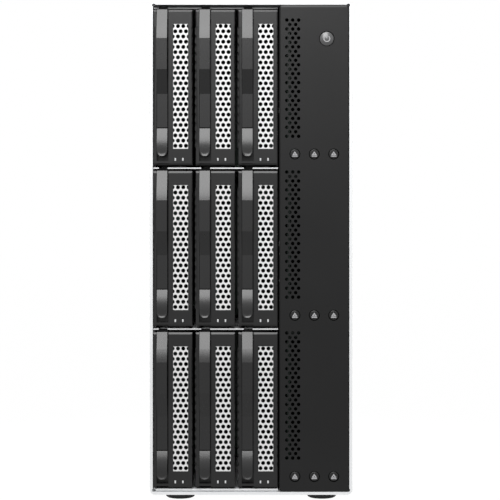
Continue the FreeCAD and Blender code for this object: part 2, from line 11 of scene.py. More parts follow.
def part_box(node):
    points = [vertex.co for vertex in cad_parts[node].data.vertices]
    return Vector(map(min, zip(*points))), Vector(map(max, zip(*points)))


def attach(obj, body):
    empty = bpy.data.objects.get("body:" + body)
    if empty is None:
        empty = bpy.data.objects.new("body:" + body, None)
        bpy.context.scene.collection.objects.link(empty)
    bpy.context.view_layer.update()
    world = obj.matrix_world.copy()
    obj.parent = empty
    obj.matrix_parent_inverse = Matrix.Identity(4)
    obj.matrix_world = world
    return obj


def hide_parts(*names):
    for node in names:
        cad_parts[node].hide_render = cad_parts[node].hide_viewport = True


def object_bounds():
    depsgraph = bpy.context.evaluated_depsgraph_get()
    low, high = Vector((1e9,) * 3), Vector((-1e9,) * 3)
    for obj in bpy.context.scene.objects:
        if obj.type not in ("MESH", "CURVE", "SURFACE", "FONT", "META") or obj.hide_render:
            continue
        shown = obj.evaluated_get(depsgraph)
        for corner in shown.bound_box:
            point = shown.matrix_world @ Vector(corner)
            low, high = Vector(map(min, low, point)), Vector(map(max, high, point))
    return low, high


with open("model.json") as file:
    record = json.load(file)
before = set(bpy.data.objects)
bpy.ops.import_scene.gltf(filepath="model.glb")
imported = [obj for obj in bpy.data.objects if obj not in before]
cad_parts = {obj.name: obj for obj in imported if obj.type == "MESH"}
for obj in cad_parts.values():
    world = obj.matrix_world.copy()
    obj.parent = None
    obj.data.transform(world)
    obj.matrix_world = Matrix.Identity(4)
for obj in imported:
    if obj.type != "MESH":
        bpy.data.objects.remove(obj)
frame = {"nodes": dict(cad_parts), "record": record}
cad_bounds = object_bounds()

# ---------------------------------------------------------------- outer sleeve
# One extruded aluminium tube, bead-blasted and clear anodised. It is cut square at both ends, and its edges
# are broken so that the front rim catches the light. Its four inner corners have round reliefs.

owner = {node: body for body, nodes in frame["record"]["behaviour"]["bodies"].items() for node in nodes}


def box_of(node):
    """A CAD piece's lowest and highest corners."""
    return [Vector(corner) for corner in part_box(node)]


def shape_of(mesh):
    """A mesh opened for editing."""
    shape = bmesh.new()
    shape.from_mesh(mesh)
    return shape


def mesh_of(shape, name):
    """A finished shape as a mesh."""
    mesh = bpy.data.meshes.new(name)
    shape.to_mesh(mesh)
    shape.free()
    return mesh


def clean_shape(node):
    """A CAD piece's own mesh with its triangles merged back to whole flat faces."""
    weld, flat = 0.000004, math.radians(0.6)
    shape = shape_of(frame["nodes"][node].data)
    bmesh.ops.remove_doubles(shape, verts=shape.verts, dist=weld)
    bmesh.ops.dissolve_limit(shape, angle_limit=flat, verts=shape.verts, edges=shape.edges)
    return mesh_of(shape, node)


def add_piece(name, mesh, finish, body, sharp=32):
    """A visible piece that rides on a body, smooth except across its sharp edges."""
    piece = bpy.data.objects.new(name, mesh)
    bpy.context.scene.collection.objects.link(piece)
    mesh.materials.append(finish)
    mesh.polygons.foreach_set("use_smooth", [True] * len(mesh.polygons))
    mesh.set_sharp_from_angle(angle=math.radians(sharp))
    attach(piece, body)
    return piece


def break_edges(piece, width, segments=2):
    """Rounds a piece's sharp edges."""
    bevel = piece.modifiers.new("broken edges", "BEVEL")
    bevel.width = width
    bevel.segments = segments
    bevel.limit_method = "ANGLE"
    bevel.angle_limit = math.radians(35)
    bevel.harden_normals = True
    bevel.use_clamp_overlap = True


def dress_node(node, finish, width, segments=2, sharp=32, shape=None):
    """Shows a CAD piece with its edges rounded and its finish on."""
    piece = add_piece("dressed_" + node, shape or clean_shape(node), finish, owner[node], sharp)
    break_edges(piece, width, segments)
    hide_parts(node)
    return piece


def surface_group():
    """Fine grain, slow mottling and uneven gloss, for every moulded, blasted or painted surface."""
    group = bpy.data.node_groups.new("surface grain", "ShaderNodeTree")
    for label, kind, value in (
        ("Colour", "NodeSocketColor", (0.5, 0.5, 0.5, 1.0)),
        ("Mottle", "NodeSocketFloat", 0.1),
        ("Roughness", "NodeSocketFloat", 0.4),
        ("Roughness Spread", "NodeSocketFloat", 0.1),
        ("Grain Scale", "NodeSocketFloat", 2500.0),
        ("Grain Depth", "NodeSocketFloat", 0.1),
    ):
        socket = group.interface.new_socket(name=label, in_out="INPUT", socket_type=kind)
        socket.default_value = value
    for label, kind in (("Colour", "Color"), ("Roughness", "Float"), ("Normal", "Vector")):
        group.interface.new_socket(name=label, in_out="OUTPUT", socket_type="NodeSocket" + kind)
    nodes, links = group.nodes, group.links
    given, out = nodes.new("NodeGroupInput"), nodes.new("NodeGroupOutput")
    place = nodes.new("ShaderNodeTexCoord")
    grain, slow = nodes.new("ShaderNodeTexNoise"), nodes.new("ShaderNodeTexNoise")
    grain.inputs["Detail"].default_value = 3.0
    slow.inputs["Scale"].default_value = 22.0
    slow.inputs["Detail"].default_value = 4.0
    bump = nodes.new("ShaderNodeBump")
    bump.inputs["Distance"].default_value = 0.00005
    centred = nodes.new("ShaderNodeMath")
    centred.operation = "SUBTRACT"
    centred.inputs[1].default_value = 0.5
    shade, gloss = nodes.new("ShaderNodeMath"), nodes.new("ShaderNodeMath")
    shade.operation = gloss.operation = "MULTIPLY_ADD"
    shade.inputs[2].default_value = 1.0
    tint = nodes.new("ShaderNodeMix")
    tint.data_type, tint.blend_type = "RGBA", "MULTIPLY"
    tint.inputs[0].default_value = 1.0
    links.new(place.outputs["Object"], grain.inputs["Vector"])
    links.new(place.outputs["Object"], slow.inputs["Vector"])
    links.new(given.outputs["Grain Scale"], grain.inputs["Scale"])
    links.new(grain.outputs[0], bump.inputs["Height"])
    links.new(given.outputs["Grain Depth"], bump.inputs["Strength"])
    links.new(slow.outputs[0], centred.inputs[0])
    links.new(centred.outputs[0], shade.inputs[0])
    links.new(given.outputs["Mottle"], shade.inputs[1])
    links.new(centred.outputs[0], gloss.inputs[0])
    links.new(given.outputs["Roughness Spread"], gloss.inputs[1])
    links.new(given.outputs["Roughness"], gloss.inputs[2])
    links.new(given.outputs["Colour"], tint.inputs[6])
    links.new(shade.outputs[0], tint.inputs[7])
    links.new(tint.outputs[2], out.inputs["Colour"])
    links.new(gloss.outputs[0], out.inputs["Roughness"])
    links.new(bump.outputs["Normal"], out.inputs["Normal"])
    return group


grain_group = surface_group()


def finish(
    name, colour, roughness, metallic=0.0, mottle=0.1, spread=0.1, scale=2500.0, depth=0.1, specular=0.5,
):
    """A material whose colour, gloss and grain all vary over the surface."""
    material = bpy.data.materials.new(name)
    material.use_nodes = True
    nodes, links = material.node_tree.nodes, material.node_tree.links
    shader = nodes["Principled BSDF"]
    shader.inputs["Metallic"].default_value = metallic
    shader.inputs["Specular IOR Level"].default_value = specular
    surface = nodes.new("ShaderNodeGroup")
    surface.node_tree = grain_group
    for label, value in (
        ("Colour", (*colour, 1.0)), ("Mottle", mottle), ("Roughness", roughness),
        ("Roughness Spread", spread), ("Grain Scale", scale), ("Grain Depth", depth),
    ):
        surface.inputs[label].default_value = value
    for label, target in (("Colour", "Base Color"), ("Roughness", "Roughness"), ("Normal", "Normal")):
        links.new(surface.outputs[label], shader.inputs[target])
    return material


def cut_away(mesh, bars):
    """A mesh with the shape of some bars cut out of it."""
    blank = bpy.data.objects.new("blank", mesh)
    cutter = bpy.data.objects.new("cutter", mesh_of(bars, "cutter"))
    for thing in (blank, cutter):
        bpy.context.scene.collection.objects.link(thing)
    cut = blank.modifiers.new("cut", "BOOLEAN")
    cut.operation, cut.solver, cut.object = "DIFFERENCE", "EXACT", cutter
    result = bpy.data.meshes.new_from_object(blank.evaluated_get(bpy.context.evaluated_depsgraph_get()))
    bpy.data.objects.remove(blank)
    bpy.data.objects.remove(cutter)
    return result


def add_bar(bars, centre, radius, length, segments):
    """One round bar that runs from front to back."""
    place = Matrix.Translation(centre) @ Matrix.Rotation(math.pi / 2, 4, "X")
    bmesh.ops.create_cone(
        bars, cap_ends=True, segments=segments, radius1=radius, radius2=radius, depth=length, matrix=place,
    )


sleeve_front = box_of("outer_sleeve")[0].y
relief_x, relief_heights, relief_radius, relief_depth = 0.0759, (0.0085, 0.3869), 0.00137, 0.007


def corner_reliefs():
    """Round bars along the four inner corners of the sleeve's front."""
    bars = bmesh.new()
    for x in (-relief_x, relief_x):
        for z in relief_heights:
            add_bar(bars, Vector((x, sleeve_front, z)), relief_radius, 2 * relief_depth, 24)
    return bars


anodised = finish(
    "anodised aluminium", (0.90, 0.91, 0.92), 0.5, metallic=0.35, mottle=0.05, scale=3800.0, depth=0.25,
)
relieved = cut_away(clean_shape("outer_sleeve"), corner_reliefs())
dress_node("outer_sleeve", anodised, 0.0003, shape=relieved)

# ---------------------------------------------------------------- drive cage
# Four decks and two side walls of galvanised sheet, with reliefs at their front corners as the sleeve has.
# The decks' front edges show as bright lines between the rows.

galvanised = finish(
    "galvanised sheet", (0.88, 0.89, 0.90), 0.45, metallic=0.3, mottle=0.3, spread=0.25, scale=700.0,
)
deck_lip, deck_edge, top_deck = 0.0045, box_of("drive_cage")[0].y, box_of("tray_r1c1")[1].z
hair = 0.0001


def lipped_cage():
    """The cage with its lower decks drawn forward between the trays, short of the handles' notches."""
    shape = shape_of(clean_shape("drive_cage"))
    for vert in shape.verts:
        if vert.co.y < deck_edge + hair and vert.co.z < top_deck:
            vert.co.y -= deck_lip
    return cut_away(mesh_of(shape, "cage"), corner_reliefs())


dress_node("drive_cage", galvanised, 0.0001, 1, shape=lipped_cage())

# ---------------------------------------------------------------- trays
# Nine mouldings in black plastic, each a bezel with a side plate and two runners behind it. The bezel has
# bevels round its face, a lip on its left, round air notches down both sides, and a bead under its latch.

bays = ["r%dc%d" % (row, column) for row in (1, 2, 3) for column in (1, 2, 3)]
first_corner, first_far_corner = box_of("tray_r1c1")
tray_size = first_far_corner - first_corner
bay_pitch = box_of("tray_r1c2")[0].x - first_corner.x
notch_count, notch_pitch, notch_from_top, notch_radius = 14, 0.0068, 0.0143, 0.0023
notch_depth, notch_start, left_notch, right_notch = 0.007, 0.001, -0.00175, 0.0018
left_lips = {"c1": 0.0002, "c2": 0.0007, "c3": 0.0007}
lip_ends = (0.0125, 0.0129, 0.1070, 0.1074)
bezel_reach, bevel_deepest, bevel_flatness = 0.0141, 0.0016, 0.38
bevel_side, bevel_bottom, bevel_top = 0.00075, 0.00125, 0.00135
ledge_ends, ledge_low, ledge_high, ledge_lean, ledge_back = (0.0026, 0.0112), 0.0014, 0.0024, 0.00038, 0.0016

tray_plastic = finish(
    "black tray plastic", (0.008, 0.008, 0.0083), 0.31, scale=2600.0, depth=0.16, specular=0.42,
)


def shift_to(bay):
    """How far a bay lies from the first one."""
    return box_of("tray_" + bay)[0] - first_corner


def moved_mesh(mesh, offset):
    """A copy of a mesh at another bay."""
    copy = mesh.copy()
    copy.transform(Matrix.Translation(offset))
    return copy


def notch_cutters():
    """Round bars where the bezel's edges are bitten away."""
    bars = bmesh.new()
    for x in (first_corner.x + left_notch, first_corner.x + tray_size.x + right_notch):
        for i in range(notch_count):
            z = first_corner.z + tray_size.z - notch_from_top - i * notch_pitch
            centre = Vector((x, first_corner.y + notch_depth / 2 - notch_start, z))
            add_bar(bars, centre, notch_radius, notch_depth, 20)
    return bars


def linked(start):
    """Every corner of the piece that a corner belongs to."""
    found, waiting = {start}, [start]
    while waiting:
        here = waiting.pop()
        for edge in here.link_edges:
            there = edge.other_vert(here)
            if there not in found:
                found.add(there)
                waiting.append(there)
    return found


def slice_level(shape, corner, height):
    """Adds edges round a shape at a height above a bay's corner, so that it can bend there."""
    everything, level = shape.verts[:] + shape.edges[:] + shape.faces[:], corner + Vector((0, 0, height))
    bmesh.ops.bisect_plane(shape, geom=everything, plane_co=level, plane_no=(0, 0, 1), dist=0.00001)


def bezel_and_frame(lip):
    """The bezel, with flat bevels round its face and a lip on its left, and then the plate and runners."""
    whole = clean_shape("tray_r1c1")
    parts = []
    for keep_bezel in (True, False):
        shape, behind = shape_of(whole), set()
        for vert in shape.verts:
            if vert.co.y > first_corner.y + bezel_reach and vert not in behind:
                behind.update(linked(vert))
        unwanted = [vert for vert in shape.verts if (vert in behind) == keep_bezel]
        bmesh.ops.delete(shape, geom=unwanted, context="VERTS")
        for drop in lip_ends if keep_bezel else ():
            slice_level(shape, first_corner, tray_size.z - drop)
        for vert in shape.verts if keep_bezel else ():
            across, depth, up = vert.co - first_corner
            down = tray_size.z - up
            at_rim = min(across, tray_size.x - across) < bevel_side or up < bevel_bottom or down < bevel_top
            if at_rim and 0 < depth < bevel_deepest:
                vert.co.y = first_corner.y + depth * bevel_flatness
            if across < bevel_side and lip_ends[1] - hair / 2 < down < lip_ends[2] + hair / 2:
                vert.co.x -= lip
        parts.append(mesh_of(shape, "tray part"))
    return parts


def notched_tray(lip):
    """The first bay's tray, with its notches cut and the bead under its latch."""
    bezel, plate_and_runners = bezel_and_frame(lip)
    tray = shape_of(cut_away(bezel, notch_cutters()))
    tray.from_mesh(plate_and_runners)
    section = ((0.0, ledge_low), (ledge_lean, ledge_high), (ledge_back, ledge_high), (ledge_back, ledge_low))
    rings = [[tray.verts.new(first_corner + Vector((x, y, z))) for y, z in section] for x in ledge_ends]
    faces = [tray.faces.new(ring) for ring in rings]
    for i in range(4):
        faces.append(tray.faces.new([rings[0][i], rings[0][i - 1], rings[1][i - 1], rings[1][i]]))
    bmesh.ops.recalc_face_normals(tray, faces=faces)
    return mesh_of(tray, "tray")


tray_meshes = {column: notched_tray(lip) for column, lip in left_lips.items()}
for bay in bays:
    moved = moved_mesh(tray_meshes[bay[2:]], shift_to(bay))
    tray = add_piece("tray_moulding_" + bay, moved, tray_plastic, "carrier_" + bay, sharp=14)
    break_edges(tray, 0.00018)
    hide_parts("tray_" + bay)

# ---------------------------------------------------------------- grilles
# Bright steel strips with small round holes, punched in rows of three between rows of four. The strip is
# wider than the bezel's window, so the end holes of the rows of four show only in part.

hole_radius, hole_pitch, row_step, grille_rows = 0.00158, 0.00415, 0.00406, 24
grille_gauge, window_centre_x, first_hole_z, strip_half = 0.0008, 0.02135, 0.0149, 0.0079


def loop_of(shape, points):
    """A closed loop of edges through some points."""
    corners = [shape.verts.new(point) for point in points]
    edges = [shape.edges.new(pair) for pair in zip(corners, corners[1:] + corners[:1])]
    return corners, edges


def ring_of(shape, centre, radius, segments):
    """A closed loop of edges round a hole."""
    made = bmesh.ops.create_circle(
        shape, cap_ends=False, segments=segments, radius=radius,
        matrix=Matrix.Translation(centre) @ Matrix.Rotation(math.pi / 2, 4, "X"),
    )
    return made["verts"]


def fill_loops(sheet):
    """Fills between the loops of edges of an upright sheet."""
    bmesh.ops.triangle_fill(sheet, use_beauty=True, edges=sheet.edges[:], normal=(0, -1, 0))


def thick_sheet(sheet, thickness):
    """Fills a sheet between its loops of edges, and thickens it towards the back."""
    fill_loops(sheet)
    for face in sheet.faces:
        if face.normal.y > 0:
            face.normal_flip()
    bmesh.ops.solidify(sheet, geom=sheet.faces[:], thickness=-thickness)


def punched_sheet(outline, holes, radius, thickness, segments=16):
    """A flat sheet with round holes."""
    sheet = bmesh.new()
    loop_of(sheet, outline)
    for centre in holes:
        ring_of(sheet, centre, radius, segments)
    thick_sheet(sheet, thickness)
    return sheet


def rectangle(low_x, high_x, low_z, high_z, y):
    """The corners of an upright rectangle."""
    return [(low_x, y, low_z), (high_x, y, low_z), (high_x, y, high_z), (low_x, y, high_z)]


def grille_mesh():
    """The first bay's punched strip."""
    low, high = box_of("grille_r1c1")
    x, y = first_corner.x + window_centre_x, low.y
    outline = rectangle(x - strip_half, x + strip_half, low.z, high.z, y)
    holes = []
    for row in range(grille_rows):
        steps = (-1, 0, 1) if row % 2 == 0 else (-1.5, -0.5, 0.5, 1.5)
        z = first_corner.z + first_hole_z + row * row_step
        holes += [Vector((x + step * hole_pitch, y, z)) for step in steps]
    return mesh_of(punched_sheet(outline, holes, hole_radius, grille_gauge), "punched strip")


bright_steel = finish(
    "bright punched steel", (0.80, 0.80, 0.80), 0.5, metallic=0.3, mottle=0.06, scale=1500.0, depth=0.06,
)
strip_mesh = grille_mesh()
for bay in bays:
    moved = moved_mesh(strip_mesh, shift_to(bay))
    strip = add_piece("punched_grille_" + bay, moved, bright_steel, "carrier_" + bay)
    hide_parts("grille_" + bay)

# ---------------------------------------------------------------- handles and latches
# Satin black mouldings. The handle slopes out from its hinge to a flat grip, so its upper face takes the
# light from above. The latch is a tongue with a round foot, which swells towards a lip for the thumb.

handle_plastic = finish("black handle plastic", (0.008, 0.008, 0.0083), 0.27, scale=2900.0, depth=0.12)
slope_drop = (
    (0.1120, 0.0), (0.1103, 0.0003), (0.0993, 0.0013), (0.0751, 0.0012), (0.0563, 0.0010), (0.0400, 0.0),
)
cove_line = ((0.0751, -0.0065), (0.0620, -0.0020), (0.0563, 0.0002))
claw_root, claw_lean, claw_back, front_skin = 0.1212, 0.9, 0.0024, 0.001


def drawn_to(value, line):
    """Reads a falling line of pairs at a value, and zero beyond its ends."""
    slack = 0.000001
    for (a, at_a), (b, at_b) in zip(line, line[1:]):
        if b - slack <= value <= a + slack:
            return at_a + (at_b - at_a) * (value - a) / (b - a)
    return 0.0


def handle_mesh(bay):
    """The handle, with its claw leaning back, its grip a little lower and a flat cove under the grip."""
    shape = shape_of(clean_shape("handle_" + bay))
    corner = first_corner + shift_to(bay)
    for height in (claw_root, cove_line[1][0]):
        slice_level(shape, corner, height)
    for vert in shape.verts:
        up, depth = vert.co.z - corner.z, vert.co.y - corner.y
        if up > claw_root + hair and depth < front_skin:
            vert.co.y = corner.y + min(depth + claw_lean * (up - claw_root), claw_back)
        elif cove_line[-1][0] - hair / 2 < up < cove_line[0][0] + hair / 2 and depth < front_skin:
            vert.co.y = corner.y + drawn_to(up, cove_line)
        vert.co.z -= drawn_to(up, slope_drop)
    return mesh_of(shape, "handle")


tongue_half, tongue_foot, tongue_top, tongue_back, tongue_left = 0.00405, 0.0067, 0.0284, 0.0064, 0.00015
tongue_corner, corner_power, tongue_columns, tongue_lip, lip_rise = 0.0036, 2.4, 16, 0.0014, 0.00042
tongue_front = (
    (0.0284, 0.0002), (0.0246, -0.0011), (0.0209, -0.0021),
    (0.0174, -0.0027), (0.0139, -0.0030), (0.0, -0.0030),
)
tongue_rows = (
    0.0, 0.00025, 0.0005, 0.00075, 0.001, 0.00125, 0.0026, 0.005, 0.008, 0.0115, 0.015, 0.0182,
)


def drawn_out(shape, edges):
    """Extrudes some edges in place, and gives the new corners and the new open edges."""
    made = bmesh.ops.extrude_edge_only(shape, edges=edges)["geom"]
    corners = [item for item in made if isinstance(item, bmesh.types.BMVert)]
    return corners, [item for item in made if isinstance(item, bmesh.types.BMEdge) and item.is_boundary]


def latch_mesh(bay):
    """A tongue with a round foot. Its face swells as it comes down, and a thin lip follows the foot."""
    centre_x = sum(corner.x for corner in box_of("handle_" + bay)) / 2 - tongue_left
    corner = first_corner + shift_to(bay)
    tongue = bmesh.new()
    bmesh.ops.create_grid(tongue, x_segments=tongue_columns, y_segments=len(tongue_rows), size=1.0)
    for vert in tongue.verts:
        across, row = vert.co.x, round((vert.co.y + 1) / 2 * len(tongue_rows))
        curve = 1 - math.sqrt(max(0.0, 1 - min(1.0, abs(across)) ** corner_power))
        foot = tongue_foot + tongue_corner * curve
        above = tongue_rows[row] if row < len(tongue_rows) else None
        up = tongue_top if above is None else foot + above * (tongue_top - foot) / (tongue_top - tongue_foot)
        swell = drawn_to(up, tongue_front)
        if above is not None and above <= tongue_lip:
            swell -= lip_rise * (1 - above / tongue_lip)
        vert.co = Vector((centre_x + across * tongue_half, corner.y + swell, corner.z + up))
    rim = [edge for edge in tongue.edges if edge.is_boundary]
    for vert in drawn_out(tongue, rim)[0]:
        vert.co.y = corner.y + tongue_back
    bmesh.ops.holes_fill(tongue, edges=[edge for edge in tongue.edges if edge.is_boundary], sides=0)
    bmesh.ops.recalc_face_normals(tongue, faces=tongue.faces[:])
    return mesh_of(tongue, "latch tongue")


for bay in bays:
    dress_node("handle_" + bay, handle_plastic, 0.0003, 3, 7, handle_mesh(bay))
    body = owner["latch_" + bay]
    latch = add_piece("latch_tongue_" + bay, latch_mesh(bay), handle_plastic, body, 30)
    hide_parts("latch_" + bay)

# ---------------------------------------------------------------- light pipes
# Two clear acrylic pipes per tray, pressed into the bezel, end flush in the windows under the grille. They
# look milky white unlit.

light_places, light_height, light_sunk = (0.0172, 0.0231), 0.0042, 0.0001
light_width, light_rise, light_length, light_edge = 0.00124, 0.00224, 0.0018, 0.0002


def light_pipe_mesh():
    """Both pipe ends of the first bay."""
    pipes = bmesh.new()
    for x in light_places:
        centre = first_corner + Vector((x, light_length / 2 + light_sunk, light_height))
        scale = Matrix.Diagonal((light_width, light_length, light_rise, 1.0))
        bmesh.ops.create_cube(pipes, size=1.0, matrix=Matrix.Translation(centre) @ scale)
    bmesh.ops.bevel(
        pipes, geom=pipes.edges[:], offset=light_edge, segments=2, profile=0.5, affect="EDGES", material=-1,
    )
    return mesh_of(pipes, "light pipe ends")


milky = finish("milky acrylic", (0.78, 0.79, 0.80), 0.22, mottle=0.04, spread=0.05, scale=900.0, depth=0.02)
pipe_mesh = light_pipe_mesh()
for bay in bays:
    moved = moved_mesh(pipe_mesh, shift_to(bay))
    add_piece("light_pipes_" + bay, moved, milky, "carrier_" + bay)

# ---------------------------------------------------------------- front panel
# A black moulded cover with a bevelled rim. Three groups of small round vents run down its left side, and
# each button has a round seat.

button_nodes = ["eject_button_" + bay for bay in bays] + ["power_button"]
panel_low, panel_high = box_of("front_panel")
panel_bevel, panel_bevel_top, bevel_depth, panel_corner = 0.001, 0.0018, 0.0005, 0.0012
vent_radius, vent_pitch, vent_step = 0.0014, 0.0046, 0.003486
vent_x, vent_lowest, vent_rows, vent_period = 0.0325, 0.0337, (29, 29, 27), 36
seat_gap, panel_gauge, ear_reach, power_inset = 0.00045, 0.0016, 0.0008, 0.0001


def button_centre(node):
    """The middle of a button's cap."""
    low, high = box_of(node)
    return (low + high) / 2


def cap_radius(node):
    """A button cap's radius. The eject buttons have ears that reach past it."""
    low, high = box_of(node)
    return (high.x - low.x) / 2 - (power_inset if node == "power_button" else ear_reach)


def rounded_outline(low, high, radius, y, steps=5):
    """Points round a rectangle with rounded corners, and each point's outward direction."""
    points = []
    corners = ((high.x, high.z, 0), (low.x, high.z, 90), (low.x, low.z, 180), (high.x, low.z, 270))
    for x, z, start in corners:
        cx = x - radius if x == high.x else x + radius
        cz = z - radius if z == high.z else z + radius
        for step in range(steps + 1):
            angle = math.radians(start + 90 * step / steps)
            out = Vector((math.cos(angle), 0, math.sin(angle)))
            points.append((Vector((cx, y, cz)) + out * radius, out))
    return points


def panel_mesh():
    """The panel's face, bevelled rim and side walls as one open shell."""
    low = panel_low + Vector((panel_bevel, 0, panel_bevel))
    high = panel_high - Vector((panel_bevel, 0, panel_bevel_top))
    y, sheet = panel_low.y, bmesh.new()
    rim = rounded_outline(low, high, panel_corner, y)
    corners = loop_of(sheet, [point for point, _ in rim])[0]
    for level, count in enumerate(vent_rows):
        for row in range(count):
            steps = (-1, 0, 1) if row % 2 == 0 else (-0.5, 0.5)
            z = vent_lowest + (level * vent_period + row) * vent_step
            for step in steps:
                ring_of(sheet, Vector((vent_x + step * vent_pitch, y, z)), vent_radius, 16)
    for node in button_nodes:
        centre = button_centre(node)
        centre.y = y
        ring_of(sheet, centre, cap_radius(node) + seat_gap, 40)
    fill_loops(sheet)
    outer = {vert: out for vert, (_, out) in zip(corners, rim)}
    rim_edges = [e for e in sheet.edges if e.verts[0] in outer and e.verts[1] in outer and e.is_boundary]
    bevelled, open_edges = drawn_out(sheet, rim_edges)
    for vert in bevelled:
        out = min(rim, key=lambda entry: (entry[0] - vert.co).length)[1]
        size_z = panel_bevel_top if out.z > 0 else panel_bevel
        vert.co += Vector((out.x * panel_bevel, bevel_depth, out.z * size_z))
    for vert in drawn_out(sheet, open_edges)[0]:
        vert.co.y = panel_high.y
    bmesh.ops.recalc_face_normals(sheet, faces=sheet.faces[:])
    bmesh.ops.solidify(sheet, geom=sheet.faces[:], thickness=panel_gauge)
    bmesh.ops.recalc_face_normals(sheet, faces=sheet.faces[:])
    return mesh_of(sheet, "panel shell")


panel_plastic = finish(
    "black panel plastic", (0.005, 0.005, 0.0052), 0.36, scale=2400.0, depth=0.16, specular=0.3,
)
panel = add_piece("panel_cover", panel_mesh(), panel_plastic, "chassis", sharp=12)
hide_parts("front_panel")

# ---------------------------------------------------------------- buttons
# Semi-gloss caps with a flat middle and a sloping rim. Each eject button carries a printed triangle over a
# bar, and the power button an open ring with a stroke.

button_plastic = finish(
    "semi-gloss button plastic", (0.006, 0.006, 0.006), 0.34, scale=1800.0, depth=0.05, specular=0.4,
)
power_plastic = finish("grey power button", (0.09, 0.09, 0.092), 0.28, scale=1800.0, depth=0.05, specular=0.8)
print_ink = finish("pale grey print", (0.50, 0.50, 0.51), 0.5, mottle=0.05, scale=3000.0, depth=0.05)
cap_length, cap_edge, edge_in, edge_back = 0.0035, 0.0006, 0.0002, 0.00015
ink_lift, ink_rise = 0.00002, 0.00005


def cap_mesh(node, flat_share, drop):
    """A round cap turned from its profile, with a flat middle, a sloping rim and a rounded edge."""
    centre, radius, front = button_centre(node), cap_radius(node), box_of(node)[0].y
    rim = front + drop
    profile = [(0, front), (radius * flat_share, front), (radius - cap_edge, rim)]
    profile += [(radius - edge_in, rim + edge_back), (radius, rim + cap_edge), (radius, front + cap_length)]
    cap = bmesh.new()
    verts = [cap.verts.new((reach, depth, 0)) for reach, depth in profile]
    edges = [cap.edges.new(pair) for pair in zip(verts, verts[1:])]
    bmesh.ops.spin(
        cap, geom=verts + edges, cent=(0, 0, 0), axis=(0, 1, 0), angle=math.tau, steps=40,
        use_merge=True, use_duplicate=False,
    )
    bmesh.ops.remove_doubles(cap, verts=cap.verts[:], dist=0.000002)
    bmesh.ops.holes_fill(cap, edges=[e for e in cap.edges if e.is_boundary], sides=0)
    bmesh.ops.recalc_face_normals(cap, faces=cap.faces[:])
    bmesh.ops.translate(cap, verts=cap.verts[:], vec=Vector((centre.x, 0, centre.z)))
    return mesh_of(cap, "button cap")


def printed(shapes, y):
    """Thin ink made of flat outlines, standing off the cap."""
    ink = bmesh.new()
    for outline in shapes:
        face = ink.faces.new([ink.verts.new((x, y, z)) for x, z in outline])
        if face.normal.y > 0:
            face.normal_flip()
    ink.normal_update()
    grown = bmesh.ops.extrude_face_region(ink, geom=ink.faces[:])["geom"]
    tops = [item for item in grown if isinstance(item, bmesh.types.BMVert)]
    bmesh.ops.translate(ink, verts=tops, vec=(0, -ink_rise, 0))
    bmesh.ops.recalc_face_normals(ink, faces=ink.faces[:])
    return mesh_of(ink, "print")


def eject_outlines(x, z):
    """A hollow triangle over a bar."""
    half, rise, drop, bar_low, bar_high, hollow = 0.0021, 0.0022, 0.0009, 0.00108, 0.00036, 0.3
    outer = [(x - half, z - drop), (x + half, z - drop), (x, z + rise)]
    middle_z = z - drop + (rise + drop) / 3
    inner = [(x + (a - x) * hollow, middle_z + (b - middle_z) * hollow) for a, b in outer]
    sides = [[outer[i], outer[(i + 1) % 3], inner[(i + 1) % 3], inner[i]] for i in range(3)]
    low, high = z - drop - bar_low, z - drop - bar_high
    return sides + [[(x - half, low), (x + half, low), (x + half, high), (x - half, high)]]


def power_outlines(x, z):
    """A ring that is open at its top, and an upright stroke through the opening."""
    outer, inner, gap, pieces = 0.0027, 0.0019, 38, 24
    spans = []
    for i in range(pieces):
        ends = [math.radians(90 + gap + (360 - 2 * gap) * step / pieces) for step in (i, i + 1)]
        ring = [(x + outer * math.cos(a), z + outer * math.sin(a)) for a in ends]
        ring += [(x + inner * math.cos(a), z + inner * math.sin(a)) for a in reversed(ends)]
        spans.append(ring)
    half, low, high = 0.00035, z + 0.0002, z + 0.0031
    stroke = [(x - half, low), (x + half, low), (x + half, high), (x - half, high)]
    return spans + [stroke]


for node in button_nodes:
    power = node == "power_button"
    flat_share, drop, plastic = (0.62, 0.0007, power_plastic) if power else (0.86, 0.0001, button_plastic)
    cap = add_piece("cap_" + node, cap_mesh(node, flat_share, drop), plastic, owner[node])
    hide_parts(node)
    centre = button_centre(node)
    outlines = (power_outlines if power else eject_outlines)(centre.x, centre.z)
    ink = printed(outlines, box_of(node)[0].y - ink_lift)
    add_piece("print_" + node, ink, print_ink, owner[node])

# ---------------------------------------------------------------- guides, boards and sockets
# The guides are black nylon and clip into the decks. The boards are green with a satin mask, and the
# sockets and ports soldered to them are black mouldings.

nylon = finish("black nylon", (0.05, 0.05, 0.05), 0.48, scale=1200.0, depth=0.08)
solder_mask = finish("green solder mask", (0.010, 0.040, 0.024), 0.3, mottle=0.35, scale=500.0)
socket_plastic = finish("black socket plastic", (0.03, 0.03, 0.03), 0.5, scale=1800.0)
dress_node("guide_rails", nylon, 0.0002)
dress_node("circuit_boards", solder_mask, 0.0001, 1)
dress_node("board_parts", socket_plastic, 0.00012, 1)

# ---------------------------------------------------------------- fans
# Two 120 mm fans in black plastic. Over each one, at the back, a flat steel guard punched with round holes
# is held by four screws that go through to the fan's corners.

fan_plastic = finish("black fan plastic", (0.028, 0.028, 0.029), 0.4, scale=2000.0)
guard_paint = finish("powder coat", (0.03, 0.03, 0.03), 0.5, mottle=0.15, scale=1600.0, depth=0.4)
screw_steel = finish("blackened screw", (0.10, 0.10, 0.105), 0.35, metallic=0.6, scale=1500.0, depth=0.08)
for node in ("fan_frames", "fan_rotor_upper", "fan_rotor_lower"):
    dress_node(node, fan_plastic, 0.0003)

